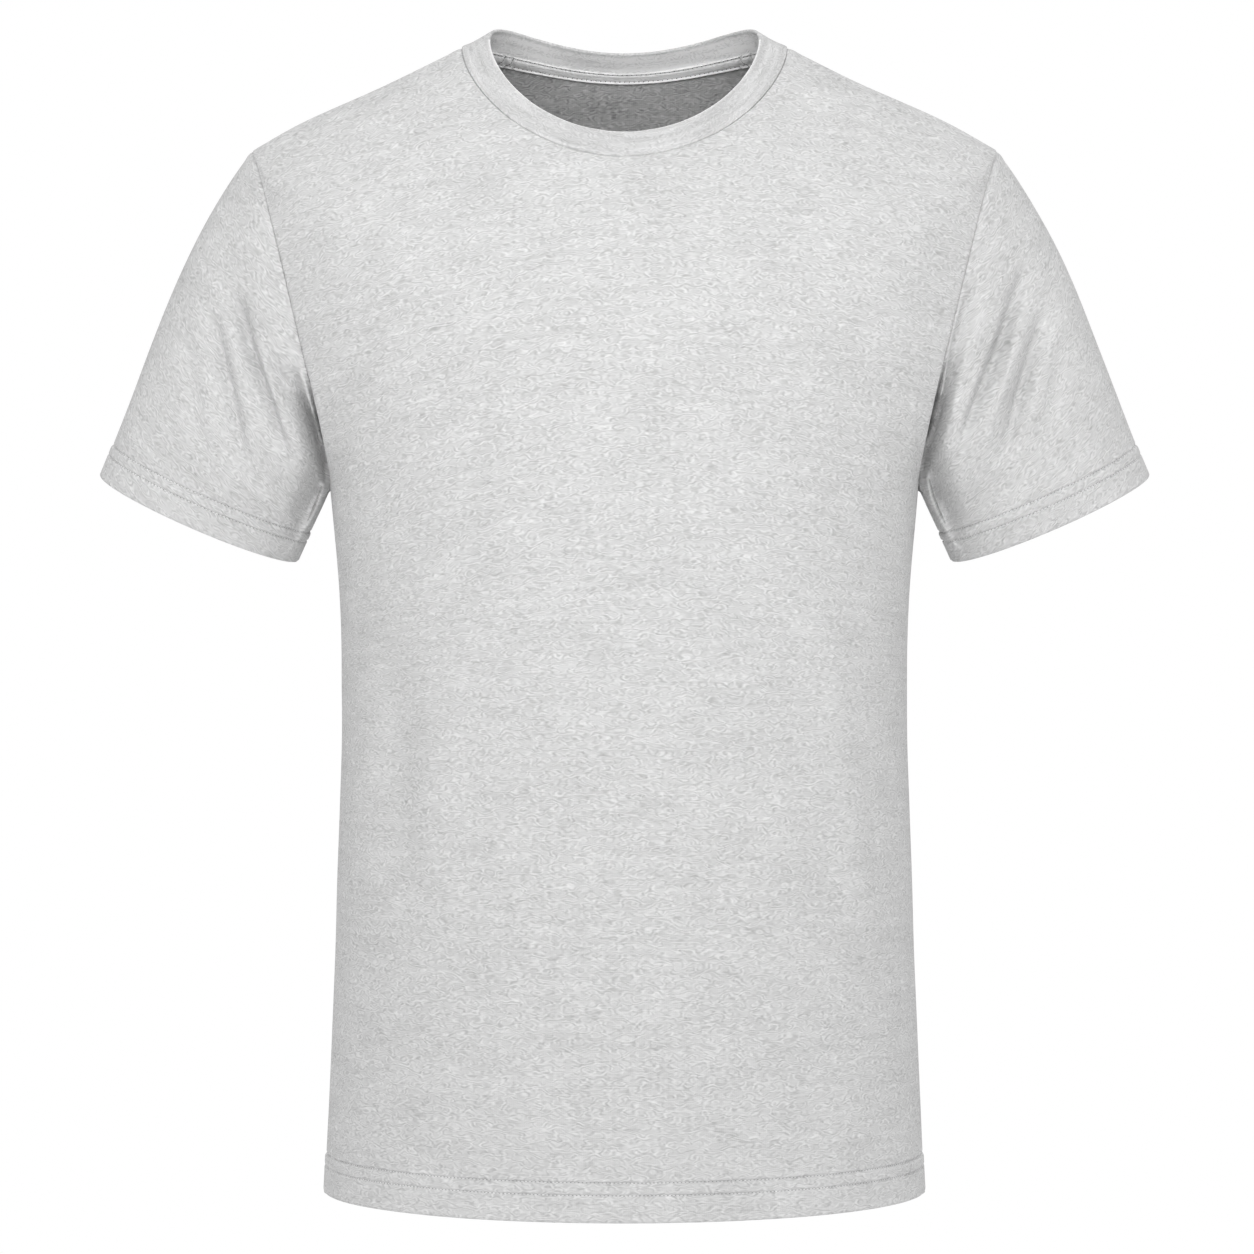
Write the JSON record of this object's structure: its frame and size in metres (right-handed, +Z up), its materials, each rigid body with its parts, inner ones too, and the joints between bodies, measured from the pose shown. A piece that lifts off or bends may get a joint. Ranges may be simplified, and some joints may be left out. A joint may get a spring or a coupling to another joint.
{
  "type": "t-shirt",
  "caption": "Short-sleeved crew-neck T-shirt in light heather jersey, filled out as when worn and hollow, with set-in sleeves, a folded rib neckband and a taped back neck.",
  "frame": {"origin": "midway between the two points where a shoulder seam meets the neckband, which is where the wearer's shoulders hold the shirt up", "axes": "+Z up, -Y to the front of the shirt, +X to the wearer's left; the seam ends on the shoulders are at z = 0 and y = 0"},
  "size_m": [0.6486, 0.268, 0.7163],
  "materials": {
    "heather_jersey": "matt cotton-blend single jersey, light grey heather with darker and paler fibres in short streaks",
    "heather_rib": "matt fine rib knit, light grey heather",
    "neck_tape_cloth": "matt jersey tape, light grey heather, stitched along both edges"
  },
  "bodies": {
    "root": {"front": "heather_jersey", "back": "heather_jersey", "sleeve_left": "heather_jersey", "sleeve_right": "heather_jersey", "neckband": "heather_rib", "neck_tape": "neck_tape_cloth"}
  },
  "joints": []
}
